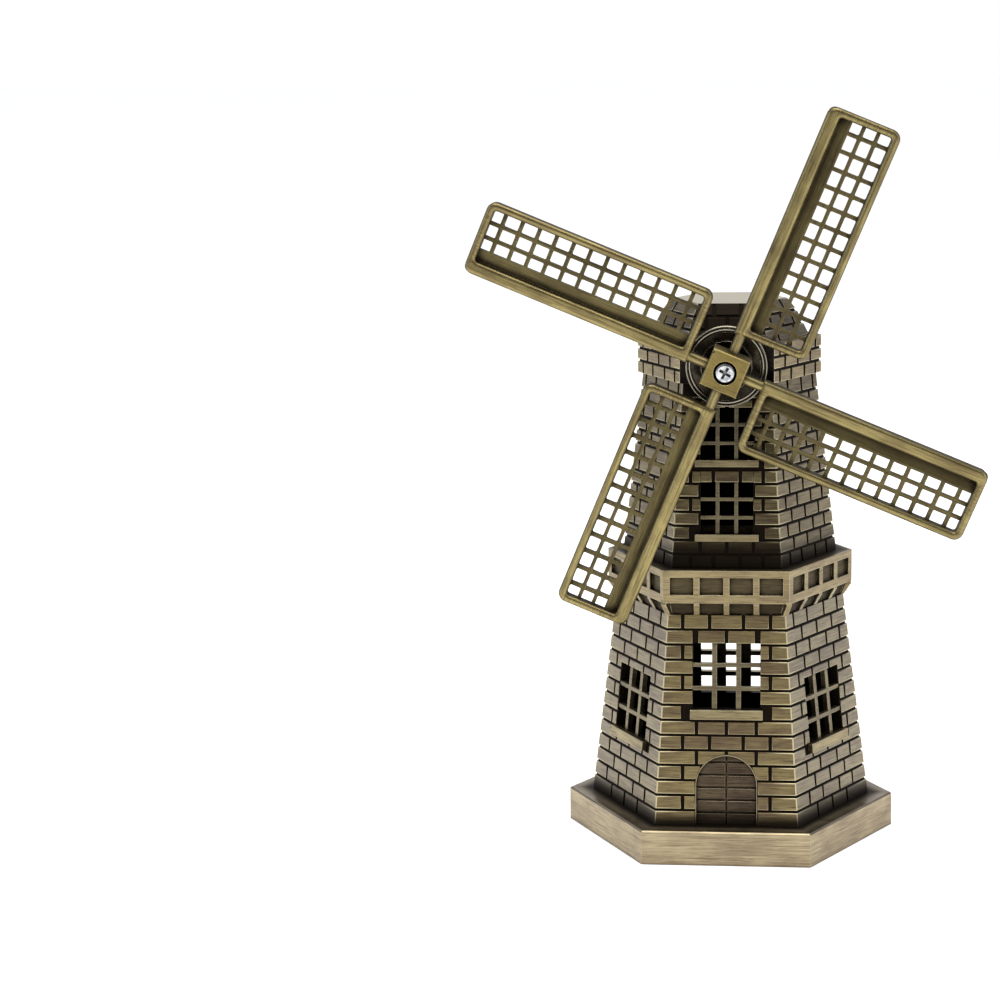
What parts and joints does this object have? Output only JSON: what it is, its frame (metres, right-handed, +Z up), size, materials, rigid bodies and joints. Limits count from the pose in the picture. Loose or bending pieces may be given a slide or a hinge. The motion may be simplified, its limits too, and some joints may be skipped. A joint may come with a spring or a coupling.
{
  "type": "souvenir windmill figurine",
  "caption": "Antique-brass miniature tower windmill on a hexagonal base, with brick walls, a balcony, a domed cap and lattice sails that turn freely.",
  "frame": {"origin": "centre of the underside of the hexagonal base, on the tower's axis", "axes": "+Z up the tower, -Y towards the front with the door and the sails, +X to the right seen from the front"},
  "size_m": [0.1202, 0.0692, 0.1781],
  "materials": {
    "castings": "antiqued, brushed highlights, dark recesses",
    "rotor_brass": "antiqued, brighter polished edges",
    "blackened": "dark antique patina with bright turned rings",
    "screw": "bright nickel",
    "pivot": "machined",
    "pad": "matt foam"
  },
  "bodies": {
    "tower": {"balcony": "castings", "base_pad": "pad", "base_plate": "castings", "cap": "castings", "cap_front_plate": "blackened", "door_leaf": "castings", "hub_screw": "screw", "lower_grille_front": "castings", "lower_grille_front_left": "castings", "lower_grille_front_right": "castings", "lower_grille_rear": "castings", "lower_sill_front": "castings", "lower_sill_front_left": "castings", "lower_sill_front_right": "castings", "lower_sill_rear": "castings", "lower_wall_front": "castings", "lower_wall_front_left": "castings", "lower_wall_front_right": "castings", "lower_wall_rear": "castings", "lower_wall_rear_left": "castings", "lower_wall_rear_right": "castings", "pivot_nut": "pivot", "pivot_sleeve": "pivot", "upper_grille_lower": "castings", "upper_grille_upper": "castings", "upper_sill_lower": "castings", "upper_sill_upper": "castings", "upper_wall_front": "castings", "upper_wall_front_left": "castings", "upper_wall_front_right": "castings", "upper_wall_rear": "castings", "upper_wall_rear_left": "castings", "upper_wall_rear_right": "castings", "windshaft_boss": "blackened"},
    "rotor": {"hub_block": "rotor_brass", "sail_1": "rotor_brass", "sail_2": "rotor_brass", "sail_3": "rotor_brass", "sail_4": "rotor_brass"}
  },
  "joints": [
    {"name": "sail_spin", "type": "hinge", "parent": "tower", "child": "rotor", "pos_m": [0, -0.03, 0.118], "axis": [0, -1, 0], "continuous": true}
  ]
}
